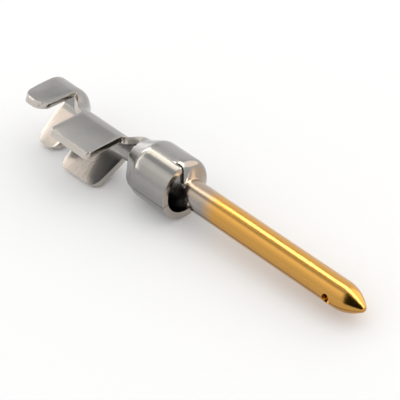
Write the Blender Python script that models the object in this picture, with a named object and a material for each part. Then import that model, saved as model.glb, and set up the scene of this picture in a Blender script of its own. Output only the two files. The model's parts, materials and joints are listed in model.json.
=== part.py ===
"""Crimp pin contact.

One strip of thin metal, stamped to a flat outline and then formed: two open crimp barrels at the
rear, a short neck, a rolled collar, a drawn-in shoulder and a tightly rolled pin with a domed nose.
The source works the same way. It draws the flat blank, cuts it into a grid, forms the grid, gives it
the thickness of the sheet, and lays the contact down as it comes to rest.

The strip's own frame: `run` goes along the strip from the rear, `wide` goes across it from the
middle line of its floor. Once formed, x goes from the rear to the tip on the pin's axis, `open`
points out of the open side of the barrels, and `side` points across.
"""

import math

import bmesh
import bpy
import numpy as np
from mathutils import Matrix, Vector

MM = 0.001

# Sheet
SHEET = 0.25 * MM  # thickness of the strip
SEAM_GAP = 0.02 * MM  # left between two edges that are rolled together

# Insulation barrel, at the rear
INSUL_LENGTH = 1.04 * MM
INSUL_FLOOR_RADIUS = 0.759 * MM  # to the middle of the sheet, as are all radii below
INSUL_OFFSET = 0.049 * MM  # of the floor's centre from the pin's axis, towards the open side
INSUL_HALF_WIDTH = 2.37 * MM  # of the flat blank
INSUL_SPLAY = 17.2  # degrees that each wing leans outwards
INSUL_REAR_REACH = 0.18 * MM  # the floor reaches this much further back than the wing tips
INSUL_REAR_REACH_WIDTH = 1.35 * MM  # as far as this from the middle line
INSUL_ROOT_BACK = 0.08 * MM  # the wings' front edges stand back by this at the root

# Web between the barrels
WEB_LENGTH = 0.84 * MM
WEB_HALF_WIDTH = 0.74 * MM
WEB_STEP_FROM_INSUL = -0.26 * MM  # the step in the floor starts this far ahead of the barrel
WEB_STEP_TO_WIRE = 0.20 * MM  # and ends this far before the next one

# Wire barrel
WIRE_LENGTH = 2.02 * MM
WIRE_FLOOR_RADIUS = 0.647 * MM
WIRE_OFFSET = 0.454 * MM
WIRE_HALF_WIDTH = 2.195 * MM
WIRE_SPLAY = 12.0
LOWER_WING_LESS = 0.12 * MM  # the lower wings are this much narrower than the upper ones
LOWER_WING_SHORTER = 0.20 * MM  # one wing's front edge stands back by this much
LOWER_WING_FURTHER = 0.26 * MM  # and its rear edge reaches this much further back at the root

# Corners of the wings and of the cut-outs
WING_CORNER = 0.16 * MM
INSUL_REAR_CORNER = 0.32 * MM
INSUL_FRONT_CORNER = 0.46 * MM
LOWER_INSUL_REAR_CORNER = 0.40 * MM
LOWER_INSUL_FRONT_CORNER = 0.44 * MM
LOWER_WIRE_REAR_CORNER = 0.30 * MM
LOWER_WIRE_FRONT_CORNER = 0.34 * MM
INNER_CORNER = 0.12 * MM
TIP_SLANT = 0.10 * MM  # the wing tips are sheared at a slant: the inner face reaches further by this
TIP_SLANT_FROM = 0.35 * MM  # and starts to do so this far from the tip

# Neck
NECK_LENGTH = 0.90 * MM
NECK_HALF_WIDTH = 0.62 * MM
NECK_RADIUS = 0.63 * MM
NECK_RISE = 0.60 * MM  # length over which the floor moves from the wire barrel to the neck

# Collar
COLLAR_DIAMETER = 2.19 * MM  # outside
COLLAR_OFFSET = 0.035 * MM  # of its centre and the neck's from the pin's axis, towards the open side
COLLAR_LENGTH = 2.20 * MM  # from its rear edge to the front rim
CONE_START = -0.14 * MM  # the cone at its rear starts this far from the rear edge
CONE_LENGTH = 0.79 * MM
CORNER_FLARE = 0.5  # of the cone's drop, that the flaps' rear corners keep out of it
FLARE_FROM = 145.0  # degrees from the floor
CONE_BENDS = 0.09  # of the cone's length, rounded at each end
REAR_EDGE_ROOT = 0.13 * MM  # the flaps' rear edges start this far back, beside the neck
REAR_EDGE_ROOT_WIDTH = 1.24 * MM
REAR_EDGE_LEAN = 0.19 * MM  # and come forward by this much on their way to the seam
REAR_EDGE_LEAN_WIDTH = 2.14 * MM
REAR_EDGE_SEAM = 0.27 * MM  # and by this much at the seam

# Shoulder between collar and pin
SHOULDER_BACK = 0.30 * MM  # where the bend starts, behind the front rim
SHOULDER_BEND = 0.20 * MM  # bend radius, to the middle of the sheet
SHOULDER_ANGLE = 65.0  # degrees that the wall turns in
SHOULDER_HALF_WIDTH = 1.48 * MM  # of the strip that carries the pin
SLIT_WIDTH = 0.03 * MM  # beside that strip
SLIT_DEPTH = 0.02 * MM  # of the slit behind the bend
ROOT_HALF_WIDTH = 0.77 * MM  # of the pin where it leaves the shoulder
ROOT_RUN = 0.66 * MM  # over which the blank widens to the full pin

# Pin
PIN_DIAMETER = 1.02 * MM
PIN_LENGTH = 8.46 * MM  # from the collar's front rim to the tip
NOSE_POINT = 1.15 * MM  # from the nose's start to the point that its sides make for
NOSE_FULLNESS = 2.0  # power of the curve of its sides
TIP_BEND = 0.02 * MM  # bend radius of the sheet's middle where the point closes
TIP_PINHOLE = 0.012 * MM  # radius left where the two petals of the nose meet
VENT_RADIUS = 0.165 * MM  # round hole on the seam where the nose starts
VENT_BEHIND_NOSE = 0.25 * MM  # from its centre to the start of the nose

# Fineness
ROUND_STEPS = 5  # along each rounded corner
BARREL_STEPS = 10  # across half of a barrel's rolled floor
COLLAR_STEPS = 28  # around half of the collar
PIN_STEPS = 16  # around half of the pin
CONE_STEPS = 6
BEND_STEPS = 4
NOSE_STEPS = 8
TIP_STEPS = 3
WEB_STEPS = 6
NECK_STEPS = 6
VENT_STEPS = 8

# Stations along the axis, from the rear
WIRE_REAR = INSUL_LENGTH + WEB_LENGTH
WIRE_FRONT = WIRE_REAR + WIRE_LENGTH
COLLAR_REAR = WIRE_FRONT + NECK_LENGTH
COLLAR_RIM = COLLAR_REAR + COLLAR_LENGTH
RIDGE = COLLAR_REAR + CONE_START + CONE_LENGTH  # where the cone meets the collar
SHOULDER_START = COLLAR_RIM - SHOULDER_BACK
TIP = COLLAR_RIM + PIN_LENGTH

# Middle radii of the rolled parts
COLLAR_RADIUS = (COLLAR_DIAMETER - SHEET) / 2
PIN_RADIUS = (PIN_DIAMETER - SHEET) / 2

# The shoulder's wall in section: a bend, a straight wall and a bend back
SHOULDER_TURN = math.radians(SHOULDER_ANGLE)
WALL = (COLLAR_RADIUS - PIN_RADIUS - 2 * SHOULDER_BEND * (1 - math.cos(SHOULDER_TURN))) / math.sin(SHOULDER_TURN)
BEND_RUN = SHOULDER_BEND * SHOULDER_TURN
SHOULDER_RUN = 2 * BEND_RUN + WALL
SHOULDER_SPAN = 2 * SHOULDER_BEND * math.sin(SHOULDER_TURN) + WALL * math.cos(SHOULDER_TURN)

# The same places measured along the strip
PIN_START_RUN = SHOULDER_START + SHOULDER_RUN
RUN_EXTRA = SHOULDER_RUN - SHOULDER_SPAN  # the strip is longer than the axis by this, ahead of the shoulder
COLLAR_HALF_WIDTH = math.pi * COLLAR_RADIUS - SEAM_GAP / 2
PIN_HALF_WIDTH = math.pi * PIN_RADIUS - SEAM_GAP / 2


def smooth(value, start, end):
    """0 before start, 1 after end, and an even S between them."""
    t = min(max((value - start) / (end - start), 0.0), 1.0)
    return t * t * (3 - 2 * t)


def blend(value, start, end, before, after):
    return before + (after - before) * smooth(value, start, end)


def nose_table():
    """Run, x, radius and turn of the sheet's middle along the nose.

    Its outer face is an ogive. The sheet then bends square across the axis to close the point.
    """
    t = np.linspace(0, 1, 1200)
    turn = np.arctan(NOSE_FULLNESS * PIN_DIAMETER / 2 / NOSE_POINT * t ** (NOSE_FULLNESS - 1))
    x = NOSE_POINT * t - SHEET / 2 * np.sin(turn)
    radius = PIN_DIAMETER / 2 * (1 - t**NOSE_FULLNESS) - SHEET / 2 * np.cos(turn)
    keep = radius > TIP_PINHOLE + TIP_BEND * np.cos(turn)
    turn, x, radius = turn[keep], x[keep], radius[keep]
    bend = np.linspace(turn[-1], math.pi / 2, 60)
    x = np.concatenate([x, x[-1] + TIP_BEND * (np.sin(bend) - math.sin(bend[0]))[1:]])
    radius = np.concatenate([radius, radius[-1] - TIP_BEND * (math.cos(bend[0]) - np.cos(bend))[1:]])
    turn = np.concatenate([turn, bend[1:]])
    run = np.concatenate([[0.0], np.cumsum(np.hypot(np.diff(x), np.diff(radius)))])
    return run, x, radius, turn, float(bend[0])


NOSE_RUN, NOSE_X, NOSE_RADIUS, NOSE_TURN, BEND_TURN = nose_table()
NOSE_START = TIP - SHEET / 2 - float(NOSE_X[-1])
NOSE_START_RUN = NOSE_START + RUN_EXTRA
STRIP_LENGTH = NOSE_START_RUN + float(NOSE_RUN[-1])


def ramp(value, start, end):
    """0 before start, 1 after end, and a straight slope with rounded ends between them."""
    t = min(max((value - start) / (end - start), 0.0), 1.0)
    bend = CONE_BENDS
    if t < bend:
        return t * t / (2 * bend * (1 - bend))
    if t > 1 - bend:
        return 1 - (1 - t) ** 2 / (2 * bend * (1 - bend))
    return (t - bend / 2) / (1 - bend)


def profile(run):
    """x, radius and centre offset of the sheet at this place along the strip."""
    if run <= SHOULDER_START:
        web_start = INSUL_LENGTH + WEB_STEP_FROM_INSUL
        web_end = WIRE_REAR - WEB_STEP_TO_WIRE
        neck_end = WIRE_FRONT + NECK_RISE
        cone = COLLAR_REAR + CONE_START
        radius = blend(run, web_start, web_end, INSUL_FLOOR_RADIUS, WIRE_FLOOR_RADIUS)
        radius += blend(run, WIRE_FRONT, neck_end, 0, NECK_RADIUS - WIRE_FLOOR_RADIUS)
        radius += ramp(run, cone, cone + CONE_LENGTH) * (COLLAR_RADIUS - NECK_RADIUS)
        offset = blend(run, web_start, web_end, INSUL_OFFSET, WIRE_OFFSET)
        offset += blend(run, WIRE_FRONT, neck_end, 0, COLLAR_OFFSET - WIRE_OFFSET)
        return run, radius, offset
    along = run - SHOULDER_START
    if along < BEND_RUN:
        turn = along / SHOULDER_BEND
        x = SHOULDER_BEND * math.sin(turn)
        drop = SHOULDER_BEND * (1 - math.cos(turn))
    elif along < BEND_RUN + WALL:
        down = along - BEND_RUN
        x = SHOULDER_BEND * math.sin(SHOULDER_TURN) + down * math.cos(SHOULDER_TURN)
        drop = SHOULDER_BEND * (1 - math.cos(SHOULDER_TURN)) + down * math.sin(SHOULDER_TURN)
    elif along < SHOULDER_RUN:
        turn = (SHOULDER_RUN - along) / SHOULDER_BEND
        x = SHOULDER_SPAN - SHOULDER_BEND * math.sin(turn)
        drop = COLLAR_RADIUS - PIN_RADIUS - SHOULDER_BEND * (1 - math.cos(turn))
    elif run <= NOSE_START_RUN:
        x = run - RUN_EXTRA - SHOULDER_START
        drop = COLLAR_RADIUS - PIN_RADIUS
    else:
        past = min(run - NOSE_START_RUN, float(NOSE_RUN[-1]))
        x = NOSE_START - SHOULDER_START + float(np.interp(past, NOSE_RUN, NOSE_X))
        drop = COLLAR_RADIUS - float(np.interp(past, NOSE_RUN, NOSE_RADIUS))
    offset = COLLAR_OFFSET * (1 - drop / (COLLAR_RADIUS - PIN_RADIUS)) if run < PIN_START_RUN else 0.0
    return SHOULDER_START + x, COLLAR_RADIUS - drop, offset


def collar_profile(run):
    """The collar's flaps run straight on beside the shoulder."""
    return run, COLLAR_RADIUS, COLLAR_OFFSET


def rolled_angle(run):
    """How far round the floor is rolled before a wing goes on straight."""
    insul = math.radians(90 - INSUL_SPLAY)
    wire = math.radians(90 - WIRE_SPLAY)
    angle = blend(run, INSUL_LENGTH, WIRE_REAR, insul, wire)
    return angle + blend(run, WIRE_FRONT, WIRE_FRONT + NECK_RISE, 0, math.pi - wire)


def is_flap(run, wide):
    """True on the collar's two flaps, past the slits beside the shoulder strip."""
    return SHOULDER_START < run <= COLLAR_RIM + SHEET and abs(wide) > SHOULDER_HALF_WIDTH + SLIT_WIDTH / 2


def formed(run, wide, flap):
    """The middle of the sheet once formed: x, towards the open side, to the side."""
    x, radius, offset = collar_profile(run) if flap else profile(run)
    if run > NOSE_START_RUN:
        wide *= radius / PIN_RADIUS  # the nose is swaged, so its strip narrows with it
    bent = min(abs(wide), radius * rolled_angle(run))
    straight = abs(wide) - bent
    turn = bent / radius
    if COLLAR_REAR + CONE_START < run < RIDGE:
        radius += CORNER_FLARE * smooth(turn, math.radians(FLARE_FROM), math.pi) * (COLLAR_RADIUS - radius)
    out = offset - radius * math.cos(turn) + straight * math.sin(turn)
    side = radius * math.sin(turn) + straight * math.cos(turn)
    return Vector((x, out, math.copysign(side, wide)))


def formed_with_normal(run, wide):
    """The formed point and the direction that is square to the sheet, pointing outwards."""
    flap = is_flap(run, wide)
    small = 1e-4 * MM
    along = formed(run + small, wide, flap) - formed(run - small, wide, flap)
    across = formed(run, wide + small, flap) - formed(run, wide - small, flap)
    return formed(run, wide, flap), along.cross(across).normalized()


def tip_slant(run, wide):
    """How far the sheet's inner face reaches past its outer face, near the tips of the wings."""
    if run > WIRE_FRONT:
        return 0.0
    half = WIRE_HALF_WIDTH if run > (INSUL_LENGTH + WIRE_REAR) / 2 else INSUL_HALF_WIDTH
    if wide > 0:
        half -= LOWER_WING_LESS
    return math.copysign(TIP_SLANT * smooth(abs(wide), half - TIP_SLANT_FROM, half), wide)


def inner_half(run):
    """From the sheet's middle to its inner face, which is squeezed as the nose closes."""
    if run <= NOSE_START_RUN:
        return SHEET / 2
    left = (profile(run)[1] - 0.01 * MM) / (0.12 * MM)
    return SHEET / 2 * min(max(left, 0.05), 1.0)


def even(start, end, steps):
    return [start + (end - start) * step / steps for step in range(steps + 1)]


def seam_half(run):
    """Half width of the blank that closes all round the axis at this place."""
    return math.pi * profile(run)[1] - SEAM_GAP / 2


def rounded(corners):
    """An outline from (run, wide, corner radius) points, with each corner rounded."""
    outline = []
    for index, (run, wide, radius) in enumerate(corners):
        point = np.array([run, wide])
        back = np.array(corners[index - 1][:2]) - point
        ahead = np.array(corners[(index + 1) % len(corners)][:2]) - point
        if radius <= 0:
            outline.append(point)
            continue
        back_length, ahead_length = np.linalg.norm(back), np.linalg.norm(ahead)
        back, ahead = back / back_length, ahead / ahead_length
        half = math.acos(float(np.clip(back @ ahead, -1, 1))) / 2
        reach = min(radius / math.tan(half), 0.48 * back_length, 0.48 * ahead_length)
        radius = reach * math.tan(half)
        middle = (back + ahead) / np.linalg.norm(back + ahead)
        centre = point + middle * radius / math.sin(half)
        start, end = point + back * reach - centre, point + ahead * reach - centre
        first = math.atan2(start[1], start[0])
        sweep = (math.atan2(end[1], end[0]) - first + math.pi) % (2 * math.pi) - math.pi
        for step in range(ROUND_STEPS + 1):
            turn = first + sweep * step / ROUND_STEPS
            outline.append(centre + radius * np.array([math.cos(turn), math.sin(turn)]))
    return outline


def nose_runs():
    """Places along the nose that turn by even amounts, along its sides and then round its point."""
    turns = even(0, BEND_TURN, NOSE_STEPS)[1:] + even(BEND_TURN, math.pi / 2, TIP_STEPS)[1:]
    return [NOSE_START_RUN + float(np.interp(turn, NOSE_TURN, NOSE_RUN)) for turn in turns]


def blank_side(sign, less, insul_corners, wire_root, wire_front, wire_corners):
    """Half of the blank's outline, from the rear to the tip, on one side of the middle line."""
    vent = NOSE_START_RUN - VENT_BEHIND_NOSE
    slit_side = SHOULDER_HALF_WIDTH + SLIT_WIDTH
    seam_runs = [COLLAR_REAR + REAR_EDGE_SEAM] + even(RIDGE - CONE_BENDS * CONE_LENGTH, RIDGE, 3)
    corners = [
        (-INSUL_REAR_REACH, INSUL_REAR_REACH_WIDTH, 0.5 * MM),
        (0, INSUL_HALF_WIDTH - less, insul_corners[0]),
        (INSUL_LENGTH, INSUL_HALF_WIDTH - less, insul_corners[1]),
        (INSUL_LENGTH - INSUL_ROOT_BACK, WEB_HALF_WIDTH, INNER_CORNER),
        (wire_root, WEB_HALF_WIDTH, INNER_CORNER),
        (WIRE_REAR, WIRE_HALF_WIDTH - less, wire_corners[0]),
        (wire_front, WIRE_HALF_WIDTH - less, wire_corners[1]),
        (wire_front, NECK_HALF_WIDTH, INNER_CORNER),
        (COLLAR_REAR - 2 * REAR_EDGE_ROOT, NECK_HALF_WIDTH, INNER_CORNER),
        (COLLAR_REAR - REAR_EDGE_ROOT, REAR_EDGE_ROOT_WIDTH, INNER_CORNER),
        (COLLAR_REAR + REAR_EDGE_LEAN, REAR_EDGE_LEAN_WIDTH, 1.5 * INNER_CORNER),
    ]
    corners += [(run, seam_half(run), 0) for run in seam_runs]
    corners += [
        (COLLAR_RIM, COLLAR_HALF_WIDTH, 0),
        (COLLAR_RIM, slit_side, INNER_CORNER / 3),
        (SHOULDER_START - SLIT_DEPTH, slit_side, SLIT_WIDTH / 3),
        (SHOULDER_START - SLIT_DEPTH, SHOULDER_HALF_WIDTH, SLIT_WIDTH / 3),
        (SHOULDER_START, SHOULDER_HALF_WIDTH, 0),
        (PIN_START_RUN, ROOT_HALF_WIDTH, 0),
        (PIN_START_RUN + ROOT_RUN, PIN_HALF_WIDTH, 0),
        (vent - VENT_RADIUS, PIN_HALF_WIDTH, 0),
    ]
    for step in range(1, VENT_STEPS):
        turn = math.pi * step / VENT_STEPS
        corners.append((vent - VENT_RADIUS * math.cos(turn), PIN_HALF_WIDTH - VENT_RADIUS * math.sin(turn), 0))
    corners += [(vent + VENT_RADIUS, PIN_HALF_WIDTH, 0), (STRIP_LENGTH, PIN_HALF_WIDTH, 0)]
    return [(run, sign * wide, radius) for run, wide, radius in corners]


def cut(flat, normal, at, low, high):
    """Cuts the flat blank along one line, in the part of it that has run between low and high."""
    faces = [face for face in flat.faces if low <= face.calc_center_median().x <= high]
    geometry = set(faces)
    for face in faces:
        geometry.update(face.edges, face.verts)
    bmesh.ops.bisect_plane(flat, geom=list(geometry), dist=1e-6 * MM, plane_co=at, plane_no=normal)


def flat_blank():
    """The stamped blank as a flat mesh, cut into a grid where it will be bent."""
    upper = blank_side(
        sign=-1,
        less=0,
        insul_corners=(INSUL_REAR_CORNER, INSUL_FRONT_CORNER),
        wire_root=WIRE_REAR,
        wire_front=WIRE_FRONT,
        wire_corners=(WING_CORNER, WING_CORNER),
    )
    lower = blank_side(
        sign=1,
        less=LOWER_WING_LESS,
        insul_corners=(LOWER_INSUL_REAR_CORNER, LOWER_INSUL_FRONT_CORNER),
        wire_root=WIRE_REAR - LOWER_WING_FURTHER,
        wire_front=WIRE_FRONT - LOWER_WING_SHORTER,
        wire_corners=(LOWER_WIRE_REAR_CORNER, LOWER_WIRE_FRONT_CORNER),
    )
    flat = bmesh.new()
    outline = rounded(upper + lower[::-1])
    flat.faces.new([flat.verts.new((run, wide, 0)) for run, wide in outline])

    web_start = INSUL_LENGTH + WEB_STEP_FROM_INSUL
    web_end = WIRE_REAR - WEB_STEP_TO_WIRE
    cone = COLLAR_REAR + CONE_START
    runs = [0, INSUL_LENGTH, WIRE_REAR, COLLAR_REAR + REAR_EDGE_LEAN]
    runs += even(web_start, web_end, WEB_STEPS)
    runs += even(WIRE_FRONT, WIRE_FRONT + NECK_RISE, NECK_STEPS)
    runs += even(cone, RIDGE, CONE_STEPS)
    runs += even(SHOULDER_START, SHOULDER_START + BEND_RUN, BEND_STEPS)
    runs += even(PIN_START_RUN - BEND_RUN, PIN_START_RUN, BEND_STEPS)
    runs += [PIN_START_RUN + ROOT_RUN, NOSE_START_RUN]
    runs += nose_runs()[:-1]
    for run in sorted(runs):
        cut(flat, (1, 0, 0), (run, 0, 0), -INSUL_REAR_REACH, STRIP_LENGTH)

    floors = [
        (-INSUL_REAR_REACH, INSUL_LENGTH, INSUL_FLOOR_RADIUS * rolled_angle(0)),
        (INSUL_LENGTH, WIRE_REAR, WEB_HALF_WIDTH),
        (WIRE_REAR, WIRE_FRONT, WIRE_FLOOR_RADIUS * rolled_angle(WIRE_REAR)),
        (WIRE_FRONT, cone, NECK_HALF_WIDTH),
    ]
    for low, high, half in floors:
        for wide in even(-half, half, 2 * BARREL_STEPS):
            cut(flat, (0, 1, 0), (0, wide, 0), low, high)
    for wide in even(-COLLAR_HALF_WIDTH, COLLAR_HALF_WIDTH, 2 * COLLAR_STEPS)[1:-1]:
        fan = wide * (1 - NECK_RADIUS / COLLAR_RADIUS) / CONE_LENGTH
        cut(flat, (-fan, 1, 0), (RIDGE, wide, 0), cone, RIDGE)
        cut(flat, (0, 1, 0), (0, wide, 0), RIDGE, SHOULDER_START)
        if abs(wide) > SHOULDER_HALF_WIDTH:
            cut(flat, (0, 1, 0), (0, wide, 0), SHOULDER_START, COLLAR_RIM)
    for wide in even(-PIN_HALF_WIDTH, PIN_HALF_WIDTH, 2 * PIN_STEPS)[1:-1]:
        cut(flat, (0, 1, 0), (0, wide, 0), SHOULDER_START, STRIP_LENGTH)
    bmesh.ops.triangulate(flat, faces=flat.faces[:])
    return flat


def solid_contact(flat):
    """The formed sheet with its thickness: outer face, inner face, and the sheared edge between them."""
    solid = bmesh.new()
    outer, inner = {}, {}
    for vert in flat.verts:
        run, wide = vert.co.x, vert.co.y
        point, normal = formed_with_normal(run, wide)
        outer[vert] = solid.verts.new(point + normal * SHEET / 2)
        point, normal = formed_with_normal(run, wide + tip_slant(run, wide))
        inner[vert] = solid.verts.new(point - normal * inner_half(run))
    for face in flat.faces:
        corners = face.verts[:]
        solid.faces.new([outer[vert] for vert in corners])
        solid.faces.new([inner[vert] for vert in reversed(corners)])
    for edge in flat.edges:
        if edge.is_boundary:
            start, end = edge.link_loops[0].vert, edge.link_loops[0].link_loop_next.vert
            solid.faces.new([outer[end], outer[start], inner[start], inner[end]])
    bmesh.ops.recalc_face_normals(solid, faces=solid.faces[:])
    if solid.calc_volume(signed=True) < 0:
        bmesh.ops.reverse_faces(solid, faces=solid.faces[:])
    bmesh.ops.triangulate(solid, faces=solid.faces[:])
    return solid


def centre_of_mass(solid):
    total, weighted = 0.0, Vector((0, 0, 0))
    for face in solid.faces:
        a, b, c = (vert.co for vert in face.verts)
        volume = a.dot(b.cross(c)) / 6
        total += volume
        weighted += volume * (a + b + c) / 4
    return weighted / total


def resting_down(solid, wanted):
    """The way down, in the contact's own frame, in the stable rest nearest to the wanted one."""
    balance = centre_of_mass(solid)
    hull = bmesh.new()
    for vert in solid.verts:
        hull.verts.new(vert.co)
    found = bmesh.ops.convex_hull(hull, input=hull.verts[:])
    best, closest = None, -2.0
    for face in [item for item in found["geom"] if isinstance(item, bmesh.types.BMFace)]:
        face.normal_update()
        down = face.normal.copy()
        corners = [vert.co for vert in face.verts]
        if down.dot(corners[0] - balance) < 0:
            down.negate()
        inside = []
        for index, corner in enumerate(corners):
            side = corners[(index + 1) % len(corners)] - corner
            inside.append(side.cross(balance - corner).dot(down))
        stable = all(value >= 0 for value in inside) or all(value <= 0 for value in inside)
        if stable and down.dot(wanted) > closest:
            best, closest = down, down.dot(wanted)
    hull.free()
    return best


def lay_down(solid):
    """Turns the contact to its rest: pin towards +X, open side towards -Y, floor at z = 0."""
    # It lies on the collar and on the ends of the lower wings.
    leaning = math.radians(83)
    wanted = Vector((0, math.cos(leaning), math.sin(leaning)))
    up = -resting_down(solid, wanted)
    ahead = (Vector((1, 0, 0)) - up * up.x).normalized()
    turn = Matrix((ahead, up.cross(ahead), up)).to_4x4()
    bmesh.ops.transform(solid, matrix=turn, verts=solid.verts[:])
    low = Vector([min(vert.co[k] for vert in solid.verts) for k in range(3)])
    high = Vector([max(vert.co[k] for vert in solid.verts) for k in range(3)])
    shift = Vector((-(low.x + high.x) / 2, -(low.y + high.y) / 2, -low.z))
    bmesh.ops.translate(solid, vec=shift, verts=solid.verts[:])
    return turn, shift


def plated_metal():
    material = bpy.data.materials.new("plated_copper_alloy")
    material.use_nodes = True
    shader = material.node_tree.nodes["Principled BSDF"]
    shader.inputs["Base Color"].default_value = (0.62, 0.60, 0.56, 1)
    shader.inputs["Metallic"].default_value = 1.0
    shader.inputs["Roughness"].default_value = 0.25
    return material


def build():
    for item in list(bpy.data.objects):
        bpy.data.objects.remove(item, do_unlink=True)
    collection = bpy.data.collections.new("crimp_pin_contact")
    bpy.context.scene.collection.children.link(collection)

    flat = flat_blank()
    solid = solid_contact(flat)
    flat.free()
    turn, shift = lay_down(solid)
    print("turned by", [[round(value, 5) for value in row] for row in turn.to_3x3()])
    print("moved by mm", [round(value / MM, 4) for value in shift], "triangles", len(solid.faces))

    mesh = bpy.data.meshes.new("crimp_pin_contact")
    solid.to_mesh(mesh)
    solid.free()
    contact = bpy.data.objects.new("crimp_pin_contact", mesh)
    mesh.materials.append(plated_metal())
    collection.objects.link(contact)


build()
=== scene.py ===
"""Crimp pin contact, dressed for its picture.

The contact is one strip of thin sheet, so it is made here as it is made in the press: a flat blank
is drawn, given the sheet's thickness, its sheared edges are broken, it is cut into a fine grid, and
each point of the grid is then rolled, splayed or drawn in to its formed place. It stands for the
one solid of the frame, and it is set down where that solid's front rim and upper wing are.
"""

import json
import math

import bmesh
import bpy
import numpy as np
from mathutils import Matrix, Vector

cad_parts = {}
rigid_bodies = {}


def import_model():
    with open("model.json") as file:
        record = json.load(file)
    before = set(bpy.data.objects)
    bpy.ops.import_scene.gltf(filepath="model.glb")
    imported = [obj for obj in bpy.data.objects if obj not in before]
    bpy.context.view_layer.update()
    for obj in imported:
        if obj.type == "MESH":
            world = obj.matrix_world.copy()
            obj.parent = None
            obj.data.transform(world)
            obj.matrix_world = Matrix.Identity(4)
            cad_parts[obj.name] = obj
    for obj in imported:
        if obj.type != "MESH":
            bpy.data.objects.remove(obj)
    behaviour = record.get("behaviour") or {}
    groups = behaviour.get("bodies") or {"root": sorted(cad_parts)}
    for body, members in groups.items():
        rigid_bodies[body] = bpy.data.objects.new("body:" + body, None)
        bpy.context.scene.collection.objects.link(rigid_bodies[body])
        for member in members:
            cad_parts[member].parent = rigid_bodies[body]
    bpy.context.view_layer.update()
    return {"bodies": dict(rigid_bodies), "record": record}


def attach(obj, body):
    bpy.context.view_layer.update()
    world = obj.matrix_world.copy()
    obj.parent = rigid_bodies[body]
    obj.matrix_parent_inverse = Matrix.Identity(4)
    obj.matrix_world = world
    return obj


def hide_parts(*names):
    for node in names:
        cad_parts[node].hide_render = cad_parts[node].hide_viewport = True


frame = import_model()

MM = 0.001
NODE = "crimp_pin_contact"
BODY = next(iter(frame["bodies"]))

# Sheet
SHEET = 0.25 * MM
SEAM_GAP = 0.02 * MM
BROKEN_EDGE = 0.045 * MM  # how far the sheared edges are rounded
SEAM_EDGE = 0.006 * MM  # the same along the seams, which are nearly closed

# Insulation barrel. Radii are to the middle of the sheet.
INSUL_LENGTH = 1.04 * MM
INSUL_FLOOR_RADIUS = 0.759 * MM
INSUL_OFFSET = 0.049 * MM  # from the pin's axis to the barrel's own, towards the open side
INSUL_HALF_WIDTH = 2.37 * MM
INSUL_SPLAY = 17.2  # degrees
INSUL_REAR_REACH = 0.18 * MM  # how far the barrel's floor stands out behind its wings
INSUL_REAR_REACH_WIDTH = 1.35 * MM
INSUL_ROOT_BACK = 0.08 * MM

# Web between the barrels
WEB_LENGTH = 0.84 * MM
WEB_HALF_WIDTH = 0.74 * MM
WEB_STEP_FROM_INSUL = -0.26 * MM  # its step starts inside the insulation barrel
WEB_STEP_TO_WIRE = 0.20 * MM

# Wire barrel
WIRE_LENGTH = 2.02 * MM
WIRE_FLOOR_RADIUS = 0.647 * MM
WIRE_OFFSET = 0.454 * MM
WIRE_HALF_WIDTH = 2.195 * MM
WIRE_SPLAY = 12.0  # degrees
LOWER_WING_LESS = 0.12 * MM  # the lower wings are narrower than the upper ones
LOWER_WING_SHORTER = 0.20 * MM  # the lower wire wing ends sooner
LOWER_WING_FURTHER = 0.26 * MM  # and starts further back at its root

# Neck
NECK_LENGTH = 0.90 * MM
NECK_HALF_WIDTH = 0.62 * MM
NECK_RADIUS = 0.63 * MM
NECK_RISE = 0.60 * MM

# Collar and the shoulder in front of it
COLLAR_DIAMETER = 2.19 * MM
COLLAR_OFFSET = 0.035 * MM
COLLAR_LENGTH = 2.20 * MM
CONE_START = -0.14 * MM  # from the collar's rear edge
CONE_LENGTH = 0.79 * MM
CONE_BENDS = 0.09  # share of the cone's length that is taken by the bend at each end
CORNER_FLARE = 0.5  # how far the cone's rear corners spring out, as a share of the draw
FLARE_FROM = 145.0  # degrees round from the floor
REAR_EDGE_ROOT = 0.13 * MM
REAR_EDGE_ROOT_WIDTH = 1.24 * MM
REAR_EDGE_LEAN = 0.19 * MM
REAR_EDGE_LEAN_WIDTH = 2.14 * MM
REAR_EDGE_SEAM = 0.27 * MM
SHOULDER_BACK = 0.30 * MM
SHOULDER_BEND = 0.20 * MM
SHOULDER_ANGLE = 65.0  # degrees from the axis
SHOULDER_HALF_WIDTH = 1.48 * MM
SLIT_WIDTH = 0.03 * MM
SLIT_DEPTH = 0.02 * MM
ROOT_HALF_WIDTH = 0.77 * MM
ROOT_RUN = 0.66 * MM

# Pin
PIN_DIAMETER = 1.02 * MM
PIN_LENGTH = 8.46 * MM
NOSE_POINT = 1.15 * MM
NOSE_FULLNESS = 2.0
TIP_BEND = 0.02 * MM
TIP_PINHOLE = 0.012 * MM
VENT_RADIUS = 0.165 * MM
VENT_BEHIND_NOSE = 0.25 * MM

# The nose's inner face is squeezed once the sheet's middle is nearer to the axis than the two
# lengths together, down to the least share of the half thickness
SQUEEZE_END = 0.01 * MM
SQUEEZE_SPAN = 0.12 * MM
SQUEEZE_LEAST = 0.05

# Corners of the blank, as the die rounds them
WING_CORNER = 0.16 * MM
INSUL_REACH_CORNER = 0.50 * MM
INSUL_REAR_CORNER = 0.32 * MM
INSUL_FRONT_CORNER = 0.46 * MM
LOWER_INSUL_REAR_CORNER = 0.40 * MM
LOWER_INSUL_FRONT_CORNER = 0.44 * MM
LOWER_WIRE_REAR_CORNER = 0.30 * MM
LOWER_WIRE_FRONT_CORNER = 0.34 * MM
INNER_CORNER = 0.12 * MM
LEAN_CORNER = 1.5 * INNER_CORNER
RIM_CORNER = INNER_CORNER / 3
SLIT_CORNER = SLIT_WIDTH / 3
VENT_CORNER = 0.98 * VENT_RADIUS  # just under the radius, so that the hole's two arcs don't touch
TIP_SLANT = 0.10 * MM  # how far the shear leans at the tips of the wings
TIP_SLANT_FROM = 0.35 * MM

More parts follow.
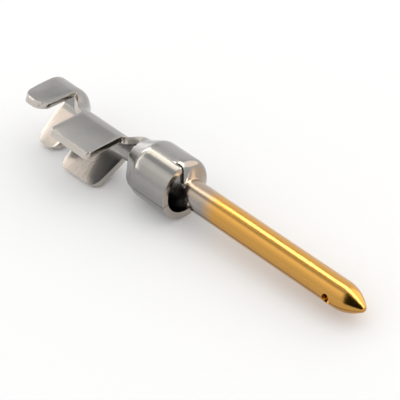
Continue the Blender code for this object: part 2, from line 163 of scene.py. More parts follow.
# Fineness of the grid: cuts along each part of the strip, and columns across it
INSUL_CUTS = 6
WEB_CUTS = 14
WIRE_CUTS = 10
NECK_CUTS = 12
CONE_CUTS = 14
COLLAR_CUTS = 6
SHOULDER_BEND_CUTS = 8
PIN_CUTS = 30
NOSE_CUTS = 20
TIP_CUTS = 8
BARREL_COLUMNS = 44
COLLAR_COLUMNS = 96
PIN_COLUMNS = 60
CORNER_SEGMENTS = 7
EDGE_SEGMENTS = 3
LAST_BEND_CORNERS = 3  # along the seam, where the cone bends into the collar
NOSE_SAMPLES = 1200
TIP_SAMPLES = 60
SHARP_FROM = 38  # degrees between two faces
EDGE_ON = 0.3  # most that a sheared face's normal leans out of the flat strip

# Small lengths: for slopes, for points that a cut may share, and for points in the same place
SMALL_STEP = 1e-4 * MM
CUT_REACH = 1e-5 * MM
SAME_PLACE = 1e-6 * MM

# Stations along the axis, from the rear
WEB_STEP_START = INSUL_LENGTH + WEB_STEP_FROM_INSUL
WIRE_REAR = INSUL_LENGTH + WEB_LENGTH
WEB_STEP_END = WIRE_REAR - WEB_STEP_TO_WIRE
WEB_MIDDLE = (INSUL_LENGTH + WIRE_REAR) / 2
WIRE_FRONT = WIRE_REAR + WIRE_LENGTH
NECK_END = WIRE_FRONT + NECK_RISE
COLLAR_REAR = WIRE_FRONT + NECK_LENGTH
CONE_REAR = COLLAR_REAR + CONE_START
RIDGE = CONE_REAR + CONE_LENGTH
COLLAR_RIM = COLLAR_REAR + COLLAR_LENGTH
SHOULDER_START = COLLAR_RIM - SHOULDER_BACK
TIP = COLLAR_RIM + PIN_LENGTH
COLLAR_RADIUS = (COLLAR_DIAMETER - SHEET) / 2
PIN_RADIUS = (PIN_DIAMETER - SHEET) / 2

# The shoulder's wall in section: a bend, a straight wall and a bend back
SHOULDER_TURN = math.radians(SHOULDER_ANGLE)
WALL_DROP = COLLAR_RADIUS - PIN_RADIUS - 2 * SHOULDER_BEND * (1 - math.cos(SHOULDER_TURN))
WALL = WALL_DROP / math.sin(SHOULDER_TURN)
BEND_RUN = SHOULDER_BEND * SHOULDER_TURN
SHOULDER_RUN = 2 * BEND_RUN + WALL
SHOULDER_SPAN = 2 * SHOULDER_BEND * math.sin(SHOULDER_TURN) + WALL * math.cos(SHOULDER_TURN)

# Places along the flat strip, which is longer than the formed one ahead of the shoulder
PIN_START_RUN = SHOULDER_START + SHOULDER_RUN
RUN_EXTRA = SHOULDER_RUN - SHOULDER_SPAN
COLLAR_HALF_WIDTH = math.pi * COLLAR_RADIUS - SEAM_GAP / 2
PIN_HALF_WIDTH = math.pi * PIN_RADIUS - SEAM_GAP / 2

# Where the gold starts and where it is full, in millimetres along the flat strip. Its front lies
# further ahead beside the seam, and wavers. A thin share of it covers the strip's middle from the
# shoulder on: partly a flash of gold, partly a painted reflection of the gold pin.
GOLD_FROM = 7.90
GOLD_FULL = 9.10
GOLD_SLANT = -0.45
GOLD_WAVER = 0.5
FLASH_AND_REFLECTION_FROM = 6.70
FLASH_AND_REFLECTION_FULL = 7.05
FLASH_AND_REFLECTION_SIDE_FULL = 0.6  # across the strip, from its middle
FLASH_AND_REFLECTION_SIDE_END = 1.2
FLASH_AND_REFLECTION_SHARE = 0.28  # share of the full gold: partly a flash, partly painted reflection

# Finish
BURNISH_AND_SHEEN_SHARE = 0.6  # share of the pale edge colour: partly burnish, partly painted highlight
TIN_ROUGHNESS = 0.145
GOLD_ROUGHNESS = 0.155
GRAIN_ROUGHNESS = 0.06
LINES_RELIEF = 0.6
RELIEF_STRENGTH = 0.5
RELIEF_DEPTH = 0.006 * MM

# Scales of the plating's patterns, in features to the millimetre
ROLLING_LINES = (0.7, 20.0, 1.0)  # long along the run, 0.05 mm apart across it
PLATING_GRAIN = 9.0  # really a few hundredths of a millimetre, drawn coarser so that it shows
TIN_CLOUD = 1.1

# Colours
TIN = "#989592"
TIN_DULL = "#8b8a89"
GOLD = "#c1914a"
# Pale colour of the sheared edges: partly their burnish, partly a painted highlight along them
BURNISH_AND_SHEEN_COLOUR = "#d8d0c6"
FLOOR = "#f8f8f8"

# The picture. The pin runs down to the right and towards the camera.
PIN_DOWN = 34.09  # degrees under level, in the picture
PIN_TOWARDS_CAMERA = 35.43  # degrees out of the picture
OPENING_ROLL = 60.7  # degrees from the side that faces the camera to the open side
AIMED_AT = 7.30 * MM
CAMERA_RIGHT = 0.2322 * MM
CAMERA_UP = -0.2070 * MM
CAMERA_DISTANCE = 83.636 * MM
CAMERA_LENS = 222.3  # millimetres, as the sensor's width is
CAMERA_SENSOR = 36
CAMERA_CLIP_START = 1 * MM
RIM_MOUNT_ANGLE = 130  # degrees round the rim, from its floor, of the point that the frame names
FLOOR_HALF = 0.6
FLOOR_ROUGHNESS = 0.9
WORLD_LEVEL = 1.0

# The soft lamp, and the studio cards that only the metal's reflections see. Each stands off the
# pin, over one point of it. After its name come its two angles round the pin, where 0 faces the
# camera and + is down, and its two angles along the pin, where 0 is square to it and + is ahead,
# as seen from that point. Then come its radiance, its colour, its distance and the point.
NOSE_MIDDLE = TIP - 0.8 * NOSE_POINT
COLLAR_MIDDLE = COLLAR_REAR + 0.5 * COLLAR_LENGTH
WIRE_MIDDLE = WIRE_REAR + 0.5 * WIRE_LENGTH
INSUL_MIDDLE = 0.5 * INSUL_LENGTH
LAMP = ("soft_top", (-140, -86), (-72, 12), 0.22, "#fffcf8", 150 * MM, COLLAR_RIM)
CARDS = (
    ("strip_overhead", (-68, -50), (-78, 72), 6.8, "#fffbf0", 90 * MM, COLLAR_RIM),
    ("grey_gap", (-39, -17), (-46, 35), 0.70, "#f4f8fa", 90 * MM, COLLAR_RIM),
    ("cream_side", (-13, 12), (-46, 2), 1.48, "#fffdf8", 120 * MM, COLLAR_RIM),
    ("cream_fade", (12, 30), (-46, 2), 1.18, "#fffdf8", 120 * MM, COLLAR_RIM),
    ("white_bar", (-46, 36), (-60, -50), 4.6, "#fffaf0", 90 * MM, COLLAR_RIM),
    ("dark_front", (-26, 60), (14, 70), 0.42, "#e6e4e0", 50 * MM, COLLAR_RIM),
    ("dark_by_nose", (-34, 78), (6, 66), 0.05, "#8a8068", 8 * MM, NOSE_MIDDLE),
    ("cream_front", (-160, -62), (-4, 50), 2.4, "#fff2e4", 120 * MM, COLLAR_RIM),
    ("white_rear", (-165, -105), (-84, -60), 2.3, "#ffffff", 50 * MM, COLLAR_RIM),
    ("strip_by_collar", (-51, -36), (-46, -28), 3.3, "#fff8e8", 16 * MM, COLLAR_MIDDLE),
    ("grey_by_collar", (-84, -54), (-48, -26), 1.15, "#ffffff", 16 * MM, COLLAR_MIDDLE),
    ("grey_by_wire_barrel", (-91, -70), (-46, -30), 0.84, "#ffffff", 16 * MM, WIRE_MIDDLE),
    ("cream_by_rear", (-48, -4), (-49, -34), 2.7, "#fff0e2", 16 * MM, INSUL_MIDDLE),
)


def smooth(value, start, end):
    """0 before start, 1 after end, and an even S between them."""
    t = min(max((value - start) / (end - start), 0.0), 1.0)
    return t * t * (3 - 2 * t)


def ramp(value, start, end):
    """0 before start, 1 after end, and a straight slope with rounded ends between them."""
    t = min(max((value - start) / (end - start), 0.0), 1.0)
    bend = CONE_BENDS
    if t < bend:
        return t * t / (2 * bend * (1 - bend))
    if t > 1 - bend:
        return 1 - (1 - t) ** 2 / (2 * bend * (1 - bend))
    return (t - bend / 2) / (1 - bend)


def blend(value, start, end, before, after):
    """Goes smoothly from before to after, between start and end."""
    return before + (after - before) * smooth(value, start, end)


def even(start, end, steps):
    """Evenly spaced values, both ends among them."""
    return [start + (end - start) * step / steps for step in range(steps + 1)]


def nose_table():
    """Run, x, radius and turn of the sheet's middle along the nose.

    Its outer face is an ogive. The sheet then bends square across the axis to close the point.
    """
    t = np.linspace(0, 1, NOSE_SAMPLES)
    turn = np.arctan(NOSE_FULLNESS * PIN_DIAMETER / 2 / NOSE_POINT * t ** (NOSE_FULLNESS - 1))
    x = NOSE_POINT * t - SHEET / 2 * np.sin(turn)
    radius = PIN_DIAMETER / 2 * (1 - t**NOSE_FULLNESS) - SHEET / 2 * np.cos(turn)
    keep = radius > TIP_PINHOLE + TIP_BEND * np.cos(turn)
    turn, x, radius = turn[keep], x[keep], radius[keep]
    bend = np.linspace(turn[-1], math.pi / 2, TIP_SAMPLES)
    ahead = TIP_BEND * (np.sin(bend) - math.sin(bend[0]))
    inwards = TIP_BEND * (math.cos(bend[0]) - np.cos(bend))
    x = np.concatenate([x, x[-1] + ahead[1:]])
    radius = np.concatenate([radius, radius[-1] - inwards[1:]])
    turn = np.concatenate([turn, bend[1:]])
    run = np.concatenate([[0.0], np.cumsum(np.hypot(np.diff(x), np.diff(radius)))])
    return run, x, radius, turn, float(bend[0])


NOSE_RUN, NOSE_X, NOSE_RADIUS, NOSE_TURN, TIP_TURN = nose_table()
NOSE_START = TIP - SHEET / 2 - float(NOSE_X[-1])
NOSE_START_RUN = NOSE_START + RUN_EXTRA
STRIP_LENGTH = NOSE_START_RUN + float(NOSE_RUN[-1])


def profile(run):
    """x, radius and centre offset of the sheet at this place along the strip."""
    if run <= SHOULDER_START:
        radius = blend(run, WEB_STEP_START, WEB_STEP_END, INSUL_FLOOR_RADIUS, WIRE_FLOOR_RADIUS)
        radius += blend(run, WIRE_FRONT, NECK_END, 0, NECK_RADIUS - WIRE_FLOOR_RADIUS)
        radius += ramp(run, CONE_REAR, RIDGE) * (COLLAR_RADIUS - NECK_RADIUS)
        offset = blend(run, WEB_STEP_START, WEB_STEP_END, INSUL_OFFSET, WIRE_OFFSET)
        offset += blend(run, WIRE_FRONT, NECK_END, 0, COLLAR_OFFSET - WIRE_OFFSET)
        return run, radius, offset
    along = run - SHOULDER_START
    full_drop = COLLAR_RADIUS - PIN_RADIUS
    if along < BEND_RUN:
        turn = along / SHOULDER_BEND
        x = SHOULDER_BEND * math.sin(turn)
        drop = SHOULDER_BEND * (1 - math.cos(turn))
    elif along < BEND_RUN + WALL:
        down = along - BEND_RUN
        x = SHOULDER_BEND * math.sin(SHOULDER_TURN) + down * math.cos(SHOULDER_TURN)
        drop = SHOULDER_BEND * (1 - math.cos(SHOULDER_TURN)) + down * math.sin(SHOULDER_TURN)
    elif along < SHOULDER_RUN:
        turn = (SHOULDER_RUN - along) / SHOULDER_BEND
        x = SHOULDER_SPAN - SHOULDER_BEND * math.sin(turn)
        drop = full_drop - SHOULDER_BEND * (1 - math.cos(turn))
    elif run <= NOSE_START_RUN:
        x = run - RUN_EXTRA - SHOULDER_START
        drop = full_drop
    else:
        past = min(run - NOSE_START_RUN, float(NOSE_RUN[-1]))
        x = NOSE_START - SHOULDER_START + float(np.interp(past, NOSE_RUN, NOSE_X))
        drop = COLLAR_RADIUS - float(np.interp(past, NOSE_RUN, NOSE_RADIUS))
    offset = COLLAR_OFFSET * (1 - drop / full_drop) if run < PIN_START_RUN else 0.0
    return SHOULDER_START + x, COLLAR_RADIUS - drop, offset


def rolled_angle(run):
    """How far round the floor is rolled before a wing goes on straight."""
    insul = math.radians(90 - INSUL_SPLAY)
    wire = math.radians(90 - WIRE_SPLAY)
    angle = blend(run, INSUL_LENGTH, WIRE_REAR, insul, wire)
    return angle + blend(run, WIRE_FRONT, NECK_END, 0, math.pi - wire)


def is_flap(run, wide):
    """True on the collar's two flaps, past the slits beside the shoulder strip."""
    ahead = SHOULDER_START < run <= COLLAR_RIM + SHEET
    return ahead and abs(wide) > SHOULDER_HALF_WIDTH + SLIT_WIDTH / 2


def formed(run, wide, flap):
    """The middle of the sheet once formed: x, towards the open side, to the side.

    The collar's flaps run straight on beside the shoulder.
    """
    x, radius, offset = (run, COLLAR_RADIUS, COLLAR_OFFSET) if flap else profile(run)
    if run > NOSE_START_RUN:
        wide *= radius / PIN_RADIUS  # the nose is swaged, so its strip narrows with it
    bent = min(abs(wide), radius * rolled_angle(run))
    straight = abs(wide) - bent
    turn = bent / radius
    if CONE_REAR < run < RIDGE:
        sprung = CORNER_FLARE * smooth(turn, math.radians(FLARE_FROM), math.pi)
        radius += sprung * (COLLAR_RADIUS - radius)
    out = offset - radius * math.cos(turn) + straight * math.sin(turn)
    side = radius * math.sin(turn) + straight * math.cos(turn)
    return Vector((x, out, math.copysign(side, wide)))


def formed_with_normal(run, wide):
    """The formed point and the direction that is square to the sheet, pointing outwards."""
    flap = is_flap(run, wide)
    along = formed(run + SMALL_STEP, wide, flap) - formed(run - SMALL_STEP, wide, flap)
    across = formed(run, wide + SMALL_STEP, flap) - formed(run, wide - SMALL_STEP, flap)
    return formed(run, wide, flap), along.cross(across).normalized()


def tip_slant(run, wide):
    """How far the sheet's inner face reaches past its outer face, near the tips of the wings."""
    if run > WIRE_FRONT:
        return 0.0
    half = WIRE_HALF_WIDTH if run > WEB_MIDDLE else INSUL_HALF_WIDTH
    if wide > 0:
        half -= LOWER_WING_LESS
    return math.copysign(TIP_SLANT * smooth(abs(wide), half - TIP_SLANT_FROM, half), wide)


def inner_half(run):
    """From the sheet's middle to its inner face, which is squeezed as the nose closes."""
    if run <= NOSE_START_RUN:
        return SHEET / 2
    left = (profile(run)[1] - SQUEEZE_END) / SQUEEZE_SPAN
    return SHEET / 2 * min(max(left, SQUEEZE_LEAST), 1.0)


def seam_half(run):
    """Half width of the blank that closes all round the axis at this place."""
    return math.pi * profile(run)[1] - SEAM_GAP / 2


def side_corners(sign, less, insul_corners, wire_root, wire_front, wire_corners):
    """(run, wide, rounding) of the blank's corners on one side, from the rear to the tip."""
    vent = NOSE_START_RUN - VENT_BEHIND_NOSE
    slit_side = SHOULDER_HALF_WIDTH + SLIT_WIDTH
    slit_end = SHOULDER_START - SLIT_DEPTH
    last_bend = even(RIDGE - CONE_BENDS * CONE_LENGTH, RIDGE, LAST_BEND_CORNERS)
    corners = [
        (-INSUL_REAR_REACH, INSUL_REAR_REACH_WIDTH, INSUL_REACH_CORNER),
        (0, INSUL_HALF_WIDTH - less, insul_corners[0]),
        (INSUL_LENGTH, INSUL_HALF_WIDTH - less, insul_corners[1]),
        (INSUL_LENGTH - INSUL_ROOT_BACK, WEB_HALF_WIDTH, INNER_CORNER),
        (wire_root, WEB_HALF_WIDTH, INNER_CORNER),
        (WIRE_REAR, WIRE_HALF_WIDTH - less, wire_corners[0]),
        (wire_front, WIRE_HALF_WIDTH - less, wire_corners[1]),
        (wire_front, NECK_HALF_WIDTH, INNER_CORNER),
        (COLLAR_REAR - 2 * REAR_EDGE_ROOT, NECK_HALF_WIDTH, INNER_CORNER),
        (COLLAR_REAR - REAR_EDGE_ROOT, REAR_EDGE_ROOT_WIDTH, INNER_CORNER),
        (COLLAR_REAR + REAR_EDGE_LEAN, REAR_EDGE_LEAN_WIDTH, LEAN_CORNER),
    ]
    corners += [(run, seam_half(run), 0) for run in [COLLAR_REAR + REAR_EDGE_SEAM] + last_bend]
    corners += [
        (COLLAR_RIM, COLLAR_HALF_WIDTH, 0),
        (COLLAR_RIM, slit_side, RIM_CORNER),
        (slit_end, slit_side, SLIT_CORNER),
        (slit_end, SHOULDER_HALF_WIDTH, SLIT_CORNER),
        (SHOULDER_START, SHOULDER_HALF_WIDTH, 0),
        (PIN_START_RUN, ROOT_HALF_WIDTH, 0),
        (PIN_START_RUN + ROOT_RUN, PIN_HALF_WIDTH, 0),
        (vent - VENT_RADIUS, PIN_HALF_WIDTH, 0),
        (vent - VENT_RADIUS, PIN_HALF_WIDTH - VENT_RADIUS, VENT_CORNER),
        (vent + VENT_RADIUS, PIN_HALF_WIDTH - VENT_RADIUS, VENT_CORNER),
        (vent + VENT_RADIUS, PIN_HALF_WIDTH, 0),
        (STRIP_LENGTH, PIN_HALF_WIDTH, 0),
    ]
    return [(run, sign * wide, rounding) for run, wide, rounding in corners]


def stamped_outline():
    """The flat blank as one face, with its corners rounded as the die rounds them."""
    upper = side_corners(
        sign=-1,
        less=0,
        insul_corners=(INSUL_REAR_CORNER, INSUL_FRONT_CORNER),
        wire_root=WIRE_REAR,
        wire_front=WIRE_FRONT,
        wire_corners=(WING_CORNER, WING_CORNER),
    )
    lower = side_corners(
        sign=1,
        less=LOWER_WING_LESS,
        insul_corners=(LOWER_INSUL_REAR_CORNER, LOWER_INSUL_FRONT_CORNER),
        wire_root=WIRE_REAR - LOWER_WING_FURTHER,
        wire_front=WIRE_FRONT - LOWER_WING_SHORTER,
        wire_corners=(LOWER_WIRE_REAR_CORNER, LOWER_WIRE_FRONT_CORNER),
    )
    corners = upper + lower[::-1]
    blank = bmesh.new()
    verts = [blank.verts.new((run, wide, 0)) for run, wide, _ in corners]
    blank.faces.new(verts)
    roundings = sorted({rounding for _, _, rounding in corners if rounding > 0})
    marked = {
        rounding: [vert for vert, corner in zip(verts, corners) if corner[2] == rounding]
        for rounding in roundings
    }
    for rounding in roundings:
        bmesh.ops.bevel(
            blank,
            geom=marked[rounding],
            offset=rounding,
            offset_type="OFFSET",
            segments=CORNER_SEGMENTS,
            profile=0.5,
            affect="VERTICES",
            material=-1,
        )
    return blank


def seam_edge(edge):
    """True along the two edges that meet once the collar and the pin are rolled."""
    places = [(vert.co.x, abs(vert.co.y)) for vert in edge.verts]
    on_pin = all(abs(wide - PIN_HALF_WIDTH) < SAME_PLACE for _, wide in places)
    on_collar = all(
        COLLAR_REAR < run < PIN_START_RUN
        and abs(wide - seam_half(min(run, SHOULDER_START))) < SAME_PLACE
        for run, wide in places
    )
    return on_pin or on_collar


def thick_blank():
    """The blank with its thickness and with its sheared edges broken."""
    blank = stamped_outline()
    grown = bmesh.ops.extrude_face_region(blank, geom=blank.faces[:])["geom"]
    top = [item for item in grown if isinstance(item, bmesh.types.BMVert)]
    bmesh.ops.translate(blank, verts=top, vec=(0, 0, SHEET))
    bmesh.ops.translate(blank, verts=blank.verts[:], vec=(0, 0, -SHEET / 2))
    bmesh.ops.recalc_face_normals(blank, faces=blank.faces[:])
    heights = [(edge, [vert.co.z for vert in edge.verts]) for edge in blank.edges]
    rims = [edge for edge, (first, second) in heights if abs(first - second) < SHEET / 2]
    seams = [edge for edge in rims if seam_edge(edge)]
    others = [edge for edge in rims if not seam_edge(edge)]
    for edges, offset in ((others, BROKEN_EDGE), (seams, SEAM_EDGE)):
        bmesh.ops.bevel(
            blank,
            geom=[edge for edge in edges if edge.is_valid],
            offset=offset,
            offset_type="OFFSET",
            segments=EDGE_SEGMENTS,
            profile=0.5,
            affect="EDGES",
            clamp_overlap=True,
            material=-1,
        )
    return blank


def cut(blank, normal, at, low, high):
    """Cuts the blank along one line, in the part of it that has run between low and high."""
    faces = [face for face in blank.faces if low <= face.calc_center_median().x <= high]
    geometry = set(faces)
    for face in faces:
        geometry.update(face.edges, face.verts)
    bmesh.ops.bisect_plane(
        blank, geom=list(geometry), dist=CUT_REACH, plane_co=at, plane_no=normal
    )


def cut_grid(blank):
    """Cuts the blank finely enough for each part to be bent."""
    nose_turns = even(0, TIP_TURN, NOSE_CUTS) + even(TIP_TURN, math.pi / 2, TIP_CUTS)[1:-1]
    nose_runs = [float(np.interp(turn, NOSE_TURN, NOSE_RUN)) for turn in nose_turns[1:]]
    runs = even(0, INSUL_LENGTH, INSUL_CUTS)
    runs += even(WEB_STEP_START, WEB_STEP_END, WEB_CUTS)
    runs += even(WIRE_REAR, WIRE_FRONT, WIRE_CUTS)
    runs += even(WIRE_FRONT, NECK_END, NECK_CUTS)[1:]
    runs += even(CONE_REAR, RIDGE, CONE_CUTS)
    runs += even(RIDGE, SHOULDER_START, COLLAR_CUTS)[1:-1]
    runs += even(SHOULDER_START, SHOULDER_START + BEND_RUN, SHOULDER_BEND_CUTS)
    runs += even(PIN_START_RUN - BEND_RUN, PIN_START_RUN, SHOULDER_BEND_CUTS)
    runs += even(PIN_START_RUN, NOSE_START_RUN, PIN_CUTS)[1:]
    runs += [NOSE_START_RUN + run for run in nose_runs]
    for run in sorted(runs):
        cut(blank, (1, 0, 0), (run, 0, 0), -INSUL_REAR_REACH, STRIP_LENGTH)
    barrels = [
        (-INSUL_REAR_REACH, INSUL_LENGTH, INSUL_FLOOR_RADIUS * rolled_angle(0)),
        (INSUL_LENGTH, WIRE_REAR, WEB_HALF_WIDTH),
        (WIRE_REAR, WIRE_FRONT, WIRE_FLOOR_RADIUS * rolled_angle(WIRE_REAR)),
        (WIRE_FRONT, CONE_REAR, NECK_HALF_WIDTH),
    ]
    for low, high, half in barrels:
        for wide in even(-half, half, BARREL_COLUMNS):
            cut(blank, (0, 1, 0), (0, wide, 0), low, high)
    for wide in even(-COLLAR_HALF_WIDTH, COLLAR_HALF_WIDTH, COLLAR_COLUMNS)[1:-1]:
        fan = wide * (1 - NECK_RADIUS / COLLAR_RADIUS) / CONE_LENGTH
        cut(blank, (-fan, 1, 0), (RIDGE, wide, 0), CONE_REAR, RIDGE)
        cut(blank, (0, 1, 0), (0, wide, 0), RIDGE, SHOULDER_START)
        if abs(wide) > SHOULDER_HALF_WIDTH:
            cut(blank, (0, 1, 0), (0, wide, 0), SHOULDER_START, COLLAR_RIM)
    for wide in even(-PIN_HALF_WIDTH, PIN_HALF_WIDTH, PIN_COLUMNS)[1:-1]:
        cut(blank, (0, 1, 0), (0, wide, 0), SHOULDER_START, STRIP_LENGTH)


def keep_strip_map(blank):
    """Notes on the blank where each corner of a face is on the flat strip, in millimetres.

    The first map holds the place along and across the strip. The second is 1 on the sheared faces.
    """
    strip = blank.loops.layers.uv.new("strip")
    sheared = blank.loops.layers.uv.new("sheared")
    for face in blank.faces:
        face.normal_update()
        edge_on = 1.0 if abs(face.normal.z) < EDGE_ON else 0.0
        for loop in face.loops:
            loop[strip].uv = (loop.vert.co.x / MM, loop.vert.co.y / MM)
            loop[sheared].uv = (edge_on, loop.vert.co.z / SHEET + 0.5)


def form(blank):
    """Rolls, splays and draws in the grid: each point goes to its formed place."""
    for vert in blank.verts:
        run, wide, height = vert.co
        depth = 0.5 - height / SHEET
        point, normal = formed_with_normal(run, wide + depth * tip_slant(run, wide))
        if height < 0:
            height *= inner_half(run) / (SHEET / 2)
        vert.co = point + normal * height


def square_axes(first, second):
    """Three square axes, as columns: first, second as near as it can be, and third across both."""
    first = first.normalized()
    third = first.cross(second).normalized()
    return Matrix((first, third.cross(first), third)).transposed()


def lay_down(blank):
    """Takes the formed contact to where the frame's solid lies.

    Two named faces of the frame fix its place: the collar's front rim, whose axis runs along the
    pin, and the flat outer face of the upper wire wing.
    """
    mounts = {mount["name"]: mount for mount in frame["record"]["mounts"]}
    rim, wing = mounts["collar_front_rim"], mounts["upper_wire_wing"]
    wing_root = WIRE_FLOOR_RADIUS * rolled_angle(WIRE_MIDDLE)
    wing_normal = formed_with_normal(WIRE_MIDDLE, -(wing_root + WIRE_HALF_WIDTH) / 2)[1]
    own = square_axes(Vector((1, 0, 0)), wing_normal)
    laid = square_axes(Vector(rim["axis"]), Vector(wing["axis"]))
    turn = laid @ own.transposed()
    around = math.radians(RIM_MOUNT_ANGLE)
    out, side = -COLLAR_RADIUS * math.cos(around), -COLLAR_RADIUS * math.sin(around)
    shift = Vector(rim["pos_m"]) - turn @ Vector((COLLAR_RIM, out, side))
    bmesh.ops.transform(blank, matrix=turn.to_4x4(), verts=blank.verts[:])
    bmesh.ops.translate(blank, vec=shift, verts=blank.verts[:])
    return turn, shift


def make_contact():
    """The contact as a piece, with the turn and the shift that laid it down."""
    blank = thick_blank()
    cut_grid(blank)
    bmesh.ops.triangulate(blank, faces=blank.faces[:])
    keep_strip_map(blank)
    form(blank)
    turn, shift = lay_down(blank)
    bmesh.ops.recalc_face_normals(blank, faces=blank.faces[:])
    mesh = bpy.data.meshes.new("plated_contact")
    blank.to_mesh(mesh)
    blank.free()
    mesh.shade_smooth()
    mesh.set_sharp_from_angle(angle=math.radians(SHARP_FROM))
    piece = bpy.data.objects.new("plated_contact", mesh)
    bpy.context.scene.collection.objects.link(piece)
    return piece, turn, shift


def linear(code):
    """A colour written as sRGB hex, turned to linear light."""
    parts = [int(code[k : k + 2], 16) / 255 for k in (1, 3, 5)]
    light = [part / 12.92 if part <= 0.04045 else ((part + 0.055) / 1.055) ** 2.4 for part in parts]
    return (*light, 1.0)


def add(tree, kind, inputs=None, **settings):
    """Adds a node, sets its settings, and fills its inputs with values or links."""
    made = tree.nodes.new(kind)
    for name, value in settings.items():
        setattr(made, name, value)
    for key, value in (inputs or {}).items():
        if isinstance(value, bpy.types.NodeSocket):
            tree.links.new(value, made.inputs[key])
        else:
            made.inputs[key].default_value = value
    return made


def empty_material(name):
    material = bpy.data.materials.new(name)
    material.use_nodes = True
    material.node_tree.nodes.clear()
    return material, material.node_tree


def gold_share(tree, strip, cloud):
    """How much gold covers the strip: a slanted, slightly uneven front, and a flash behind it.

    The flash is partly real gold and partly a painted reflection of the gold pin.
    """
    place = add(tree, "ShaderNodeSeparateXYZ", {0: strip})
    along = place.outputs["X"]
    from_middle = add(
        tree, "ShaderNodeMath", {0: place.outputs["Y"]}, operation="ABSOLUTE"
    ).outputs[0]
    uneven = add(
        tree, "ShaderNodeMath", {0: cloud, 1: GOLD_WAVER, 2: along}, operation="MULTIPLY_ADD"
    )
    slanted = add(
        tree,
        "ShaderNodeMath",
        {0: from_middle, 1: GOLD_SLANT, 2: uneven.outputs[0]},
        operation="MULTIPLY_ADD",
    )
    thick = add(
        tree,
        "ShaderNodeMapRange",
        {"Value": slanted.outputs[0], "From Min": GOLD_FROM, "From Max": GOLD_FULL},
        interpolation_type="SMOOTHSTEP",
    )
    # The flash behind the front is partly a thin gold flash, partly a painted reflection of the
    # gold pin.
    flash_and_reflection_start = add(
        tree,
        "ShaderNodeMapRange",
        {"Value": along, "From Min": FLASH_AND_REFLECTION_FROM, "From Max": FLASH_AND_REFLECTION_FULL, "To Max": FLASH_AND_REFLECTION_SHARE},
        interpolation_type="SMOOTHSTEP",
    )
    sides = {"From Min": FLASH_AND_REFLECTION_SIDE_FULL, "From Max": FLASH_AND_REFLECTION_SIDE_END, "To Min": 1.0, "To Max": 0.0}
    flash_and_reflection_side = add(
        tree,
        "ShaderNodeMapRange",
        {"Value": from_middle, **sides},
        interpolation_type="SMOOTHSTEP",
    )
    gilt_flash_and_reflection = add(
        tree,
        "ShaderNodeMath",
        {0: flash_and_reflection_start.outputs[0], 1: flash_and_reflection_side.outputs[0]},
        operation="MULTIPLY",
    )
    share = add(
        tree, "ShaderNodeMath", {0: thick.outputs[0], 1: gilt_flash_and_reflection.outputs[0]}, operation="MAXIMUM"
    )
    return share.outputs[0]


def plating_colour(tree, gold, cloud):
    """Clouded tin that gives way to gold, and the paler colour of the sheared edges.

    The edges' paler colour is partly their burnish and partly a painted highlight.
    """
    tin_tone = add(
        tree,
        "ShaderNodeMix",
        {"Factor": cloud, 6: linear(TIN_DULL), 7: linear(TIN)},
        data_type="RGBA",
    )
    plated = add(
        tree,
        "ShaderNodeMix",
        {"Factor": gold, 6: tin_tone.outputs[2], 7: linear(GOLD)},
        data_type="RGBA",
    )
    # The sheared edges are paler: partly their burnish, partly a painted highlight.
    # The gold covers the sheared edges of the pin too
    ungilt = add(tree, "ShaderNodeMapRange", {"Value": gold, "To Min": BURNISH_AND_SHEEN_SHARE, "To Max": 0.0})
    sheared = add(tree, "ShaderNodeUVMap", uv_map="sheared")
    edge = add(tree, "ShaderNodeSeparateXYZ", {0: sheared.outputs["UV"]})
    burnish_and_sheen = add(
        tree,
        "ShaderNodeMath",
        {0: edge.outputs["X"], 1: ungilt.outputs[0]},
        operation="MULTIPLY",
    )
    colour = add(
        tree,
        "ShaderNodeMix",
        {"Factor": burnish_and_sheen.outputs[0], 6: plated.outputs[2], 7: linear(BURNISH_AND_SHEEN_COLOUR)},
        data_type="RGBA",
    )
    return colour.outputs[2]


def plated_bronze():
    """Phosphor bronze strip, bright tin on the barrels and collar and gold on the pin.

    The plating follows the rolled surface of the strip, so the rolling lines still show as fine
    streaks along the run. Tin is a soft grey mirror, clouded over about a millimetre, and gold a
    clean warm one. They meet in a short fade where the two baths overlapped. The sheared edges are
    brighter and a little warmer than the faces: partly the punch's burnish, partly a painted
    highlight.
    """
    material, tree = empty_material("tin_and_gold_plated_bronze")
    strip = add(tree, "ShaderNodeUVMap", uv_map="strip").outputs["UV"]
    stretched = add(tree, "ShaderNodeMapping", {"Vector": strip, "Scale": ROLLING_LINES})
    lines = add(
        tree,
        "ShaderNodeTexNoise",
        {"Vector": stretched.outputs[0], "Scale": 1.0, "Detail": 3.0},
    )
    grain = add(
        tree,
        "ShaderNodeTexNoise",
        {"Vector": strip, "Scale": PLATING_GRAIN, "Detail": 4.0, "Roughness": 0.6},
    )
    cloud = add(
        tree,
        "ShaderNodeTexNoise",
        {"Vector": strip, "Scale": TIN_CLOUD, "Detail": 2.0},
    )
    gold = gold_share(tree, strip, cloud.outputs[0])
    base_rough = add(
        tree,
        "ShaderNodeMapRange",
        {"Value": gold, "To Min": TIN_ROUGHNESS, "To Max": GOLD_ROUGHNESS},
    )
    rough = add(
        tree,
        "ShaderNodeMath",
        {0: grain.outputs[0], 1: GRAIN_ROUGHNESS, 2: base_rough.outputs[0]},
        operation="MULTIPLY_ADD",
    )
    relief = add(
        tree,
        "ShaderNodeMath",
        {0: lines.outputs[0], 1: LINES_RELIEF, 2: grain.outputs[0]},
        operation="MULTIPLY_ADD",
    )
    bump = add(
        tree,
        "ShaderNodeBump",
        {"Strength": RELIEF_STRENGTH, "Distance": RELIEF_DEPTH, "Height": relief.outputs[0]},
    )
    shader = add(
        tree,
        "ShaderNodeBsdfPrincipled",
        {
            "Base Color": plating_colour(tree, gold, cloud.outputs[0]),
            "Metallic": 1.0,
            "Roughness": rough.outputs[0],
            "Normal": bump.outputs[0],
        },
    )
    add(tree, "ShaderNodeOutputMaterial", {"Surface": shader.outputs[0]})
    return material


